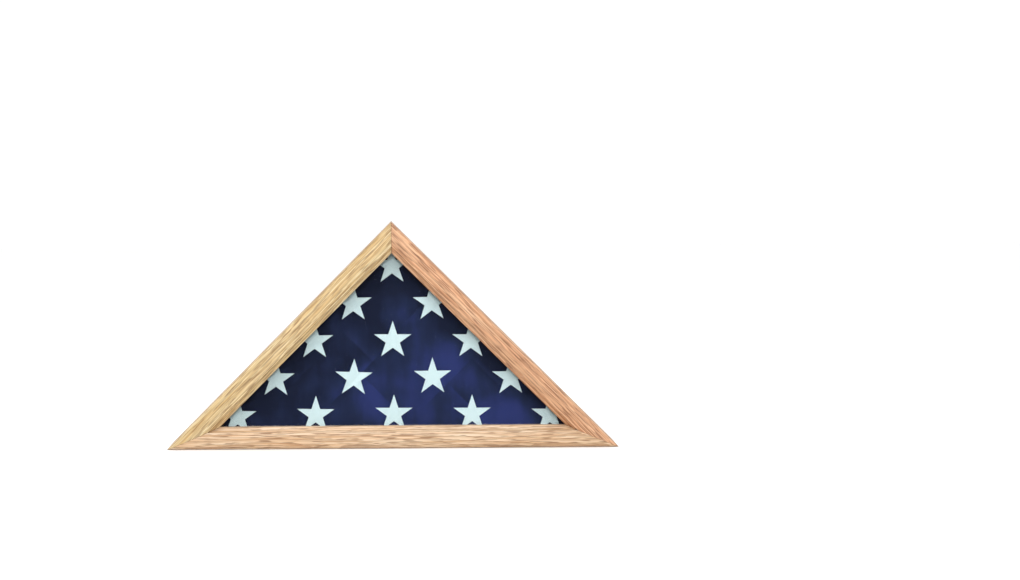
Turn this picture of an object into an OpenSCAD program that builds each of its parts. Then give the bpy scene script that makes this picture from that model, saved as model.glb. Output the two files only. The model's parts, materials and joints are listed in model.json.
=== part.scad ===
// Triangular oak display case holding a folded flag.
// Row frame: +Z up, the glass front faces -Y, origin in the middle of the underside.
// Each side of the triangle has a local frame: X along the side, Y towards the back,
// Z inwards from the outer edge.

/* [Case] */
// Width across the base, from tip to tip
base_w = 660; // [600:5:720]
// Depth from the crown of the moulding to the back edge of the walls
case_depth = 95; // [88:1:110]
// Thickness of the box walls
wall_t = 16; // [15:0.5:18]

/* [Face moulding] */
// Width of the moulding across its face
rail_w = 32; // [30:1:40]
// Thickness of the moulding at its crown
rail_t = 20; // [19:0.5:24]
// Radius of the rounded outer edge
edge_r = 9; // [6:0.5:10]
// Width of the hollow slope beside the glass
cove_w = 7; // [6:0.5:8]
// Thickness of the moulding at the bottom of that slope
lip_t = 8.5; // [7:0.5:9]

/* [Glass] */
// Thickness of the glass
glass_t = 2.5; // [2:0.5:3]
// Width of the wooden stops that hold the glass
stop_w = 6; // [5:0.5:6.5]
// Depth of those stops
stop_d = 8; // [6:0.5:10]

/* [Back] */
// Thickness of the back panel
back_t = 5; // [4:0.5:6]
// Width of the rebate
rebate_w = 4.5; // [4:0.5:4.5]
// Thickness of the cloth lining on the panel
lining_t = 1; // [0.5:0.25:1.5]

/* [Flag] */
// Long side of the folded flag
flag_w = 556; // [500:2:556]

/* [Hardware] */
// Length of a turn button from its screw to its tip
button_reach = 22; // [18:0.5:26]
// Width of a turn button
button_w = 9; // [8:0.5:9.5]
// Width of a hanger strap
strap_w = 7; // [6.5:0.25:7]
// Radius of the hanger ring's wire
wire_r = 1; // [0.9:0.05:1]

/* [Hidden] */

OAK = "burlywood";
STEEL = "silver";
BRASS = "darkkhaki";

// Numbers of the three sides, and of the corners at the left, the right and the top
BOTTOM = 0;
RIGHT = 1;
LEFT = 2;
CORNER_LEFT = 0;
CORNER_RIGHT = 1;
CORNER_TOP = 2;

// The triangle: a right angle on top and half a right angle at each end of the base
apex_z = base_w / 2;
leg = base_w / sqrt(2);
inradius = leg - base_w / 2;
side_start = [[-base_w / 2, 0, 0], [base_w / 2, 0, 0], [0, 0, apex_z]];
side_turn = [0, 135, 225];
side_len = [base_w, leg, leg];
incentre_x = [base_w / 2, base_w / 2, inradius];
corner_at = [[-base_w / 2, 0, 0], [base_w / 2, 0, 0], [0, 0, apex_z]];
corner_turn = [22.5, 157.5, 270];
corner_half = [22.5, 22.5, 45];

// Gap between the loose back panel and the ledge that it seats on
seat_gap = 0.3;

// Planes across the depth, from front to back
y_front = -case_depth / 2;
y_joint = y_front + rail_t;
y_glass = y_joint + glass_t;
y_stop = y_glass + stop_d;
y_back = case_depth / 2;
y_panel = y_back - back_t;
y_ledge = y_panel - seat_gap;
y_lining = y_panel - lining_t;
past = 1;

// Moulding profile: a low crown that falls to a quirk, then a hollow slope to the glass
crown_r = 70;
quirk_u = rail_w - cove_w;
quirk_v = lip_t + cove_w;
cove_r = 12;
cove_chord = cove_w * sqrt(2);
cove_off = sqrt(cove_r * cove_r - cove_chord * cove_chord / 4) / sqrt(2);
cove_at = [rail_w - cove_w / 2 + cove_off, lip_t + cove_w / 2 + cove_off];

// V-shaped nails in the moulding's mitres, at these distances from the outer edge
v_nail_u = [12, 24];
v_nail_arm = 6;
v_nail_t = 0.8;
v_nail_h = 10;
v_nail_open = 60;

// Splines across the mitres of the walls
spline_u = [10.5, 10.5, 9];
spline_t = 3;
spline_w = 12;
spline_y = [y_joint + 8, y_back - 14];

// Brads through the glass stops
brad_r = 0.6;
brad_len = 14;
brad_inset = 90;

// Gaps round the loose pieces
glass_gap = 1;
panel_gap = 0.7;
panel_tip = 8;
lining_gap = 6;
flag_gap = 0.5;
flag_rest_gap = 0.3;
flag_corner_r = 8;

// Screws, and the middle of the flat edge that they go into
land_u = (wall_t - rebate_w) / 2;
button_t = 1.2;
button_lift = 0.4;
boss_r = 3.6;
play = 0.05;
screw_r = 1.75;
screw_hole_r = 1.85;
pilot_gap = 0.02;
screw_len = 14;
head_r = 3.6;
head_h = 1.9;
hanger_head_r = 2.8;
hanger_head_h = 1.5;
hanger_screw_r = 1.5;

// Turn buttons: side, place along it, and which way each points when it is turned aside
BUTTONS = [
    [BOTTOM, 165, -1], [BOTTOM, base_w - 165, 1],
    [RIGHT, 120, -1], [RIGHT, 265, -1],
    [LEFT, leg - 120, 1], [LEFT, leg - 265, 1]];

// Hangers: side, place of the ring's barrel, and which way is up along the side
HANGERS = [[RIGHT, 360, 1], [LEFT, leg - 360, -1]];
strap_t = 0.8;
strap_len = 18;
barrel_r = 1.9;
barrel_bore_r = wire_r + 0.1;
barrel_y = barrel_r + play;
hanger_screw_x = 8;
ring_half = strap_w / 2 + wire_r + 0.15;
ring_leg = 8;

bumper_r = 4.5;
bumper_h = 4;
bumper_inset = 62;

// Puts children in the frame of one side
module on_side(i) {
    translate(side_start[i]) rotate([0, -side_turn[i], 0]) children();
}

// Puts children in the frame of one corner, with X along the mitre
module at_corner(k) {
    translate(corner_at[k]) rotate([0, -corner_turn[k], 0]) children();
}

// Extrudes a flat shape drawn in x and z from one depth to another
module across(y0, y1) {
    translate([0, y1, 0]) rotate([90, 0, 0]) linear_extrude(y1 - y0) children();
}

// Runs a profile drawn in (inwards, forwards) along a side, with its back at depth y
module along_side(i, y) {
    translate([0, y, 0])
        multmatrix([[0, 0, 1, 0], [0, -1, 0, 0], [1, 0, 0, 0], [0, 0, 0, 1]])
            linear_extrude(side_len[i]) children();
}

// The third of the triangle that belongs to one side, cut along both mitres
module mitre_block(i, y0, y1) {
    across(y0, y1)
        polygon([[0, 0], [side_len[i], 0], [incentre_x[i], inradius]]);
}

// The triangle of the case, inset from its outer edges
module inset_triangle(u) {
    half = base_w / 2 - u / tan(22.5);
    polygon([[-half, u], [half, u], [0, apex_z - u * sqrt(2)]]);
}

module moulding_profile() {
    difference() {
        union() {
            intersection() {
                square([quirk_u, rail_t]);
                translate([edge_r, rail_t - crown_r]) circle(r = crown_r, $fn = 180);
            }
            square([rail_w, quirk_v]);
        }
        difference() {
            translate([-past, rail_t - edge_r]) square([edge_r + past, edge_r + past]);
            translate([edge_r, rail_t - edge_r]) circle(r = edge_r, $fn = 72);
        }
        translate(cove_at) circle(r = cove_r, $fn = 72);
    }
}

module face_rail(i) {
    color(OAK) difference() {
        on_side(i) intersection() {
            along_side(i, y_joint) moulding_profile();
            mitre_block(i, y_front - past, y_joint + past);
        }
        v_nails();
    }
}

module v_nails() {
    for (k = [CORNER_LEFT, CORNER_RIGHT, CORNER_TOP], u = v_nail_u)
        at_corner(k) translate([u / sin(corner_half[k]), 0, 0])
            across(y_joint - v_nail_h, y_joint)
                for (s = [-1, 1])
                    rotate(s * v_nail_open) translate([0, -v_nail_t / 2])
                        square([v_nail_arm, v_nail_t]);
}

module splines() {
    for (k = [CORNER_LEFT, CORNER_RIGHT, CORNER_TOP])
        at_corner(k) translate([spline_u[k] / sin(corner_half[k]), 0, 0])
            across(spline_y[0], spline_y[1])
                translate([-spline_t / 2, -spline_w / 2]) square([spline_t, spline_w]);
}

// Holes along the depth for the screws on one side
module pilot_holes(i) {
    for (b = BUTTONS) if (b[0] == i)
        translate([b[1], y_back, land_u]) depthwise_rod(screw_r + pilot_gap);
    for (h = HANGERS) if (h[0] == i)
        translate([h[1] - h[2] * hanger_screw_x, y_back, land_u])
            depthwise_rod(hanger_screw_r + pilot_gap);
}

module depthwise_rod(r) {
    rotate([90, 0, 0]) translate([0, 0, -past])
        cylinder(r = r, h = screw_len + 2 * past, $fn = 32);
}

// Brads on one side, pointing outwards through the stop into the wall
module brads(i, extra) {
    for (x = [brad_inset, side_len[i] - brad_inset])
        translate([x, (y_glass + y_stop) / 2, wall_t + stop_w - brad_len])
            cylinder(r = brad_r + extra, h = brad_len, $fn = 24);
}

module wall(i) {
    color(OAK) difference() {
        on_side(i) difference() {
            intersection() {
                translate([0, y_joint, 0])
                    cube([side_len[i], y_back - y_joint, wall_t]);
                mitre_block(i, y_joint - past, y_back + past);
            }
            translate([-past, y_ledge, wall_t - rebate_w])
                cube([side_len[i] + 2 * past, y_back - y_ledge + past, rebate_w + past]);
            pilot_holes(i);
            brads(i, pilot_gap);
        }
        splines();
    }
}

module glass_stop(i) {
    color(OAK) on_side(i) difference() {
        intersection() {
            translate([0, y_glass, wall_t]) cube([side_len[i], stop_d, stop_w]);
            mitre_block(i, y_glass - past, y_stop + past);
        }
        brads(i, pilot_gap);
    }
}

module stop_brads() {
    color(STEEL) for (i = [BOTTOM, RIGHT, LEFT]) on_side(i) brads(i, 0);
}

module glass_pane() {
    color("lightcyan", 0.35)
        across(y_joint, y_glass) inset_triangle(wall_t + glass_gap);
}

// The folded flag as a plain padded triangle: its front swells between the glass stops
module folded_flag() {
    flag_z = wall_t + flag_rest_gap;
    front_z = wall_t + stop_w + flag_gap;
    color("midnightblue") {
        across(y_stop + flag_gap, y_lining - flag_gap)
            flag_outline(flag_z);
        across(y_glass + flag_gap, y_stop + flag_gap + past)
            intersection() {
                flag_outline(flag_z);
                translate([-base_w / 2, front_z]) square([base_w, apex_z]);
            }
    }
}

// Triangle of the flag standing at height z, with rounded corners
module flag_outline(z) {
    offset(r = flag_corner_r, $fn = 24) offset(delta = -flag_corner_r)
        polygon([[-flag_w / 2, z], [flag_w / 2, z], [0, z + flag_w / 2]]);
}

module back_panel() {
    u = wall_t - rebate_w + panel_gap;
    tip_x = base_w / 2 - u / tan(22.5) - panel_tip;
    color("dimgray") across(y_panel, y_back) intersection() {
        inset_triangle(u);
        translate([-tip_x, 0]) square([2 * tip_x, apex_z]);
    }
}

module back_lining() {
    u = wall_t + lining_gap;
    tip_x = base_w / 2 - u / tan(22.5) - panel_tip;
    color("black") across(y_lining, y_panel) intersection() {
        inset_triangle(u);
        translate([-tip_x, 0]) square([2 * tip_x, apex_z]);
    }
}

module turn_button(n) {
    b = BUTTONS[n];
    straight = button_reach - button_w / 2;
    color(BRASS) on_side(b[0]) translate([b[1], y_back, land_u])
        rotate([-90, b[2] > 0 ? 0 : 180, 0]) difference() {
            union() {
                translate([0, 0, button_lift]) linear_extrude(button_t) {
                    circle(d = button_w, $fn = 48);
                    translate([0, -button_w / 2]) square([straight, button_w]);
                    translate([straight, 0]) circle(d = button_w, $fn = 48);
                }
                translate([0, 0, play]) cylinder(r = boss_r, h = button_lift, $fn = 48);
            }
            translate([0, 0, -past])
                cylinder(r = screw_hole_r, h = button_t + 3 * past, $fn = 32);
        }
}

// A pan-head wood screw pointing down, with the underside of its head at z = 0
module wood_screw(r, length, cap_r, cap_h) {
    slot_w = cap_r * 0.28;
    tip_h = 2 * r;
    difference() {
        cylinder(r1 = cap_r, r2 = cap_r * 0.72, h = cap_h, $fn = 48);
        for (a = [0, 90]) rotate(a)
            translate([-cap_r * 0.55, -slot_w / 2, cap_h * 0.45])
                cube([cap_r * 1.1, slot_w, cap_h]);
    }
    translate([0, 0, tip_h - length]) cylinder(r = r, h = length - tip_h, $fn = 32);
    translate([0, 0, -length]) cylinder(r1 = r * 0.1, r2 = r, h = tip_h, $fn = 32);
}

module turn_button_screws() {
    lift = button_lift + button_t + play;
    color(STEEL) for (b = BUTTONS)
        on_side(b[0]) translate([b[1], y_back + lift, land_u])
            rotate([-90, 0, 0]) wood_screw(screw_r, screw_len, head_r, head_h);
}

// A strap folded round the straight side of the ring, screwed to the edge of a wall
module hanger_strap(n) {
    h = HANGERS[n];
    color(STEEL) on_side(h[0]) translate([h[1], y_back, land_u])
        rotate([0, h[2] > 0 ? 0 : 180, 0]) difference() {
            union() {
                translate([-strap_len, 0, -strap_w / 2])
                    cube([strap_len, strap_t, strap_w]);
                translate([0, barrel_y, -strap_w / 2])
                    cylinder(r = barrel_r, h = strap_w, $fn = 48);
            }
            translate([0, barrel_y, -strap_w])
                cylinder(r = barrel_bore_r, h = 2 * strap_w, $fn = 32);
            translate([-hanger_screw_x, -past, 0]) rotate([-90, 0, 0])
                cylinder(r = hanger_screw_r + 0.2, h = 3 * past, $fn = 32);
        }
}

// The ring folded down over its strap: a straight bar, two legs and a half circle
module hanger_ring(n) {
    h = HANGERS[n];
    color(STEEL) on_side(h[0]) translate([h[1], y_back + barrel_y, land_u])
        rotate([0, h[2] > 0 ? 0 : 180, 0]) {
            translate([0, 0, -ring_half]) cylinder(r = wire_r, h = 2 * ring_half, $fn = 32);
            for (s = [-1, 1]) translate([0, 0, s * ring_half]) {
                sphere(r = wire_r, $fn = 32);
                rotate([0, -90, 0]) cylinder(r = wire_r, h = ring_leg, $fn = 32);
            }
            translate([-ring_leg, 0, 0]) rotate([90, 0, 0]) rotate(90)
                rotate_extrude(angle = 180, $fn = 64)
                    translate([ring_half, 0]) circle(r = wire_r, $fn = 32);
        }
}

module hanger_screws() {
    color(STEEL) for (h = HANGERS)
        on_side(h[0])
            translate([h[1] - h[2] * hanger_screw_x, y_back + strap_t, land_u])
                rotate([-90, 0, 0])
                    wood_screw(hanger_screw_r, screw_len, hanger_head_r, hanger_head_h);
}

module wall_bumpers() {
    color("dimgray") on_side(BOTTOM)
        for (x = [bumper_inset, base_w - bumper_inset])
            translate([x, y_back, land_u]) rotate([-90, 0, 0])
                cylinder(r1 = bumper_r, r2 = bumper_r * 0.8, h = bumper_h, $fn = 48);
}

face_rail(BOTTOM);  // face_rail_bottom
face_rail(RIGHT);  // face_rail_right
face_rail(LEFT);  // face_rail_left
color(STEEL) v_nails();  // face_v_nails
wall(BOTTOM);  // wall_bottom
wall(RIGHT);  // wall_right
wall(LEFT);  // wall_left
color(OAK) splines();  // mitre_splines
glass_pane();
glass_stop(BOTTOM);  // glass_stop_bottom
glass_stop(RIGHT);  // glass_stop_right
glass_stop(LEFT);  // glass_stop_left
stop_brads();
folded_flag();
back_panel();
back_lining();
turn_button(0);  // turn_button_bottom_left
turn_button(1);  // turn_button_bottom_right
turn_button(2);  // turn_button_right_lower
turn_button(3);  // turn_button_right_upper
turn_button(4);  // turn_button_left_lower
turn_button(5);  // turn_button_left_upper
turn_button_screws();
hanger_strap(0);  // hanger_strap_right
hanger_strap(1);  // hanger_strap_left
hanger_ring(0);  // hanger_ring_right
hanger_ring(1);  // hanger_ring_left
hanger_screws();
wall_bumpers();
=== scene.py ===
"""Looks of a triangular oak display case that holds a folded flag.

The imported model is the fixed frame: every size and place below is read from its nodes and
joints, or is a named size of a detail that the frame leaves plain. Lengths inside the classes
are in metres, and the constant MM turns millimetres into them.
"""

import json
import logging
import math
from contextlib import contextmanager
from dataclasses import dataclass, field
from enum import Enum
from typing import Callable, Iterable, Iterator, Optional, Sequence

import bmesh
import bpy
from mathutils import Matrix, Vector, noise


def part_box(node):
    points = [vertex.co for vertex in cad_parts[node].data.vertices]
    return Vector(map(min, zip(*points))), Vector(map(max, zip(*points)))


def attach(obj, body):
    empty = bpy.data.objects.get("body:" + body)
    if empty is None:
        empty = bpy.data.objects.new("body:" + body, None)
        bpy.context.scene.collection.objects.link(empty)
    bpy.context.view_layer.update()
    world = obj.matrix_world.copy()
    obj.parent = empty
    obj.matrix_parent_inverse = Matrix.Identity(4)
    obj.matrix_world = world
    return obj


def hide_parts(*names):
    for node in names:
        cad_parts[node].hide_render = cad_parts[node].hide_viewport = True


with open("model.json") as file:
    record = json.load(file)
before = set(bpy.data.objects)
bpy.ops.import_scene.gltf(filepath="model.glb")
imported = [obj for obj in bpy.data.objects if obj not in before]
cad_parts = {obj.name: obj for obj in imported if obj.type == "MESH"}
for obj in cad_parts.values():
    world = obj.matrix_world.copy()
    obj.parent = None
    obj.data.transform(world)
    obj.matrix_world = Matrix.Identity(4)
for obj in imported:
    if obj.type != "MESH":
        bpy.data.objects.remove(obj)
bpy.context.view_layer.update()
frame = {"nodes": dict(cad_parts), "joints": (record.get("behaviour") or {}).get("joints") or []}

LOG = logging.getLogger("flag_case")
MM = 0.001
HALF_RIGHT = math.radians(45)
IMAGE_W, IMAGE_H = 1020, 580

Point2 = tuple[float, float]
Colour = tuple[float, float, float, float]
Material = bpy.types.Material
Mesh = bpy.types.Mesh
Node = bpy.types.Node
Piece = bpy.types.Object
Socket = bpy.types.NodeSocket
Tree = bpy.types.NodeTree


# ---------------------------------------------------------------------------------------------
# Small helpers: colour, nodes, meshes
# ---------------------------------------------------------------------------------------------


def linear(code: str) -> Colour:
    """Turns an sRGB hex code into a linear colour.

    Args:
        code: Six hex digits, with or without a leading hash.

    Returns:
        Red, green, blue and an alpha of 1, in linear light.
    """
    digits = code.lstrip("#")
    parts = [int(digits[i:i + 2], 16) / 255 for i in (0, 2, 4)]
    light = [c / 12.92 if c <= 0.04045 else ((c + 0.055) / 1.055) ** 2.4 for c in parts]
    return (light[0], light[1], light[2], 1.0)


def add_node(
    tree: Tree, kind: str, settings: Optional[dict] = None, links: Optional[dict] = None
) -> Node:
    """Adds a shader node with its settings and incoming links.

    Args:
        tree: The node tree that takes the node.
        kind: The node's type name without its first two words, such as TexNoise.
        settings: Property names or input names (or input numbers) and their values.
        links: Input names or numbers, and the output socket that feeds each.

    Returns:
        The new node.
    """
    node = tree.nodes.new("ShaderNode" + kind)
    for key, value in (settings or {}).items():
        if isinstance(key, str) and hasattr(node, key):
            setattr(node, key, value)
        else:
            node.inputs[key].default_value = value
    for key, socket in (links or {}).items():
        tree.links.new(socket, node.inputs[key])
    return node


def wave_scale(period: float) -> float:
    """Returns the wave texture's scale for a distance between two crests."""
    return math.tau / 20 / period


def smoothstep(low: float, high: float, x: float) -> float:
    """Returns 0 below low, 1 above high, and a smooth rise between them."""
    t = min(1.0, max(0.0, (x - low) / (high - low)))
    return t * t * (3 - 2 * t)


def raw_mesh(name: str, points: Iterable[Vector], faces: Sequence[Sequence[int]]) -> Mesh:
    """Makes a mesh from points in the row frame, in metres, and the point numbers of its faces."""
    mesh = bpy.data.meshes.new(name)
    mesh.from_pydata([tuple(p) for p in points], [], faces)
    return mesh


@contextmanager
def opened(mesh: Mesh) -> Iterator[bmesh.types.BMesh]:
    """Opens a mesh for changes and writes them back at the end."""
    made = bmesh.new()
    made.from_mesh(mesh)
    yield made
    made.to_mesh(mesh)
    made.free()


def tube_faces(count: int, rings: int, endless: bool = False) -> list[list[int]]:
    """Returns the faces between rings of points that follow one another.

    Args:
        count: Points in each ring.
        rings: Number of rings.
        endless: True if the last ring meets the first.

    Returns:
        The point numbers of each face.
    """
    faces = []
    for k in range(rings if endless else rings - 1):
        n = (k + 1) % rings
        for i in range(count):
            j = (i + 1) % count
            faces.append([k * count + i, k * count + j, n * count + j, n * count + i])
    return faces


def ring_cap(count: int, ring: int) -> list[int]:
    """Returns the face that closes one ring of points."""
    return list(range(ring * count, (ring + 1) * count))


def mesh_piece(
    name: str, points: Sequence[Vector], faces: Sequence[Sequence[int]], sharp_deg: float = 32.0
) -> Piece:
    """Makes an object from points and faces, smooth apart from its sharp edges.

    Args:
        name: Name of the new piece.
        points: Places in the row frame, in metres.
        faces: Point numbers of each face.
        sharp_deg: Edges that turn by more than this stay sharp.

    Returns:
        The linked object, with its normals facing outwards.
    """
    mesh = raw_mesh(name, points, faces)
    with opened(mesh) as made:
        bmesh.ops.remove_doubles(made, verts=made.verts, dist=0.001 * MM)
        bmesh.ops.recalc_face_normals(made, faces=made.faces)
    return link_piece(name, mesh, sharp_deg)


def link_piece(name: str, mesh: Mesh, sharp_deg: float = 32.0) -> Piece:
    """Links a mesh into the scene as a piece with soft shading and sharp edges."""
    mesh.shade_smooth()
    mesh.set_sharp_from_angle(angle=math.radians(sharp_deg))
    piece = bpy.data.objects.new(name, mesh)
    bpy.context.scene.collection.objects.link(piece)
    return piece


def dress(piece: Piece, finish: Material) -> None:
    """Gives a piece one material."""
    piece.data.materials.clear()
    piece.data.materials.append(finish)


def settle(
    piece: Piece, body: str, finish: Material, stands_for: Sequence[str] = ()
) -> Piece:
    """Dresses a piece, sets it on its body and reports it.

    Args:
        piece: The piece, in place in the row frame.
        body: The body that it moves with.
        finish: Its material.
        stands_for: The frame's nodes that it replaces.

    Returns:
        The same piece.
    """
    dress(piece, finish)
    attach(piece, body)
    if stands_for:
        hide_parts(*stands_for)
    LOG.info("%s: %d faces on %s", piece.name, len(piece.data.polygons), body)
    return piece


def keep_node(name: str, finish: Material) -> Piece:
    """Dresses a node of the frame whose shape is already right."""
    piece = frame["nodes"][name]
    dress(piece, finish)
    LOG.info("%s: kept from the frame", name)
    return piece


def round_corners(loop: Sequence[Point2], radii: Sequence[float], steps: int = 4) -> list[Point2]:
    """Rounds the corners of a closed outline.

    Args:
        loop: The outline's points.
        radii: How far from each point its rounding starts, 0 for none.
        steps: Straight pieces in each rounding.

    Returns:
        The outline with its corners rounded.
    """
    out: list[Point2] = []
    count = len(loop)
    for i, (corner, reach) in enumerate(zip(loop, radii)):
        if reach <= 0:
            out.append(corner)
            continue
        here = Vector(corner)
        before = Vector(loop[i - 1]) - here
        after = Vector(loop[(i + 1) % count]) - here
        a = here + before.normalized() * min(reach, before.length * 0.49)
        b = here + after.normalized() * min(reach, after.length * 0.49)
        for k in range(steps + 1):
            t = k / steps
            p = a * (1 - t) ** 2 + here * (2 * t * (1 - t)) + b * t ** 2
            out.append((p.x, p.y))
    return out


def arc(centre: Point2, radius: float, start: float, end: float, steps: int) -> list[Point2]:
    """Returns points on an arc, from one angle in degrees to another, both ends included."""
    angles = [math.radians(start + (end - start) * k / steps) for k in range(steps + 1)]
    return [(centre[0] + radius * math.cos(a), centre[1] + radius * math.sin(a)) for a in angles]


def slab(
    name: str,
    outline: Sequence[Point2],
    place: Callable[[float, float, float], Vector],
    low: float,
    high: float,
    edge: float,
) -> Piece:
    """Makes a flat plate with rounded edges.

    Args:
        name: Name of the new piece.
        outline: The plate's outline.
        place: Turns the outline's two coordinates and a height into the row frame.
        low: Height of one face.
        high: Height of the other.
        edge: Radius of the rounding along both faces' edges.

    Returns:
        The plate.
    """
    count = len(outline)
    centre = Vector((sum(p[0] for p in outline) / count, sum(p[1] for p in outline) / count))
    rings = []
    for k in range(5):
        turn = HALF_RIGHT * k / 2
        rings.append((edge * (1 - math.sin(turn)), low + edge * (1 - math.cos(turn))))
    rings += [(inset, high + low - h) for inset, h in reversed(rings)]
    points: list[Vector] = []
    for inset, height in rings:
        for i, p in enumerate(outline):
            here = Vector(p)
            tangent = Vector(outline[(i + 1) % count]) - Vector(outline[i - 1])
            normal = Vector((tangent.y, -tangent.x)).normalized()
            if normal.dot(here - centre) < 0:
                normal = -normal
            inner = here - normal * inset
            points.append(place(inner.x, inner.y, height))
    last = len(rings) - 1
    faces = [*tube_faces(count, last + 1), ring_cap(count, 0), ring_cap(count, last)]
    return mesh_piece(name, points, faces)


def join_pieces(name: str, pieces: Iterable[Piece]) -> Piece:
    """Joins meshes that sit at the origin into one piece, and removes the separate ones."""
    made = bmesh.new()
    for piece in list(pieces):
        made.from_mesh(piece.data)
        old = piece.data
        bpy.data.objects.remove(piece)
        bpy.data.meshes.remove(old)
    mesh = bpy.data.meshes.new(name)
    made.to_mesh(mesh)
    made.free()
    return link_piece(name, mesh)


# ---------------------------------------------------------------------------------------------
# The case's triangle
# ---------------------------------------------------------------------------------------------


class Side(Enum):
    """The three sides of the case, with the turn from the base in degrees."""

    BOTTOM = 0
    RIGHT = 135
    LEFT = 225


@dataclass(frozen=True)
class SideFrame:
    """One side's own frame: along it, inwards from its outer edge, and across the depth.

    Attributes:
        start: The side's first corner.
        along: Direction along the outer edge.
        inward: Direction from the outer edge into the case.
        length: Length of the outer edge.
        start_half: Half the angle at its first corner.
        end_half: Half the angle at its last corner.
    """

    start: Vector
    along: Vector
    inward: Vector
    length: float
    start_half: float
    end_half: float

    def at(self, x: float, u: float, y: float) -> Vector:
        """Returns the point x along, u inwards, at depth y."""
        return self.start + self.along * x + self.inward * u + Vector((0, y, 0))

    def ends(self, u: float) -> Point2:
        """Returns where the side begins and ends at a distance u inside its outer edge."""
        return u / math.tan(self.start_half), self.length - u / math.tan(self.end_half)


@dataclass(frozen=True)
class CaseFrame:
    """The case's main planes and widths, as the frame gives them.

    Attributes:
        base: Length of the bottom rail's outer edge.
        front: Depth of the rails' front.
        joint: Depth of the joint between the rails and the box.
        glass: Depth of the pane's inner face.
        back: Depth of the walls' back edge.
        ledge: Depth of the ledge that the back panel rests on.
        rail_w: Width of a rail.
        wall_t: Thickness of a wall.
        rebate_w: Width of the ledge.
    """

    base: float
    front: float
    joint: float
    glass: float
    back: float
    ledge: float
    rail_w: float
    wall_t: float
    rebate_w: float

    @classmethod
    def read(cls) -> "CaseFrame":
        """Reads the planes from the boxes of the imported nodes."""
        rail_low, rail_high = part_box("face_rail_bottom")
        wall_low, wall_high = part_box("wall_bottom")
        glass_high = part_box("glass_pane")[1]
        ledges = sorted({round(v.co.y, 5) for v in frame["nodes"]["wall_bottom"].data.vertices
                         if abs(v.co.z - wall_high.z) < 0.01 * MM})
        rims = sorted({round(v.co.z, 5) for v in frame["nodes"]["wall_bottom"].data.vertices
                       if abs(v.co.y - wall_high.y) < 0.01 * MM})
        return cls(
            base=rail_high.x - rail_low.x,
            front=rail_low.y,
            joint=wall_low.y,
            glass=glass_high.y,
            back=wall_high.y,
            ledge=ledges[-1],
            rail_w=rail_high.z,
            wall_t=wall_high.z,
            rebate_w=wall_high.z - rims[-1],
        )

    def side(self, side: Side) -> SideFrame:
        """Returns the frame of one side."""
        turn = math.radians(side.value)
        half = self.base / 2
        starts = {
            Side.BOTTOM: Vector((-half, 0, 0)),
            Side.RIGHT: Vector((half, 0, 0)),
            Side.LEFT: Vector((0, 0, half)),
        }
        leg = self.base / math.sqrt(2)
        narrow, square = math.radians(22.5), HALF_RIGHT
        return SideFrame(
            start=starts[side],
            along=Vector((math.cos(turn), 0, math.sin(turn))),
            inward=Vector((-math.sin(turn), 0, math.cos(turn))),
            length=self.base if side is Side.BOTTOM else leg,
            start_half=square if side is Side.LEFT else narrow,
            end_half=square if side is Side.RIGHT else narrow,
        )


# ---------------------------------------------------------------------------------------------
# Finishes
# ---------------------------------------------------------------------------------------------


class Surface:
    """A material while its nodes are laid.

    Attributes:
        material: The material.
        tree: Its node tree.
        shader: Its shader.
    """

    def __init__(self, name: str, sockets: dict) -> None:
        """Starts a material.

        Args:
            name: Name of the material.
            sockets: Names of the shader's sockets and their fixed values.
        """
        self.material = bpy.data.materials.new(name)
        self.material.use_nodes = True
        self.tree: Tree = self.material.node_tree
        self.shader: Node = self.tree.nodes["Principled BSDF"]
        for socket, value in sockets.items():
            self.shader.inputs[socket].default_value = value

    def feed(self, socket: str, source: Socket) -> None:
        """Links a source to one of the shader's sockets."""
        self.tree.links.new(source, self.shader.inputs[socket])

    def close(self, colour: Socket, height: Socket, strength: float, relief_mm: float) -> Material:
        """Feeds the colour and the relief to the shader.

        Args:
            colour: Source of the colour.
            height: Source of the relief, from low to high.
            strength: Strength of the relief.
            relief_mm: Height of the relief.

        Returns:
            The finished material.
        """
        self.feed("Base Color", colour)
        bump = add_node(self.tree, "Bump", {"Strength": strength, "Distance": relief_mm * MM},
                        {"Height": height})
        self.feed("Normal", bump.outputs["Normal"])
        return self.material


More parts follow.
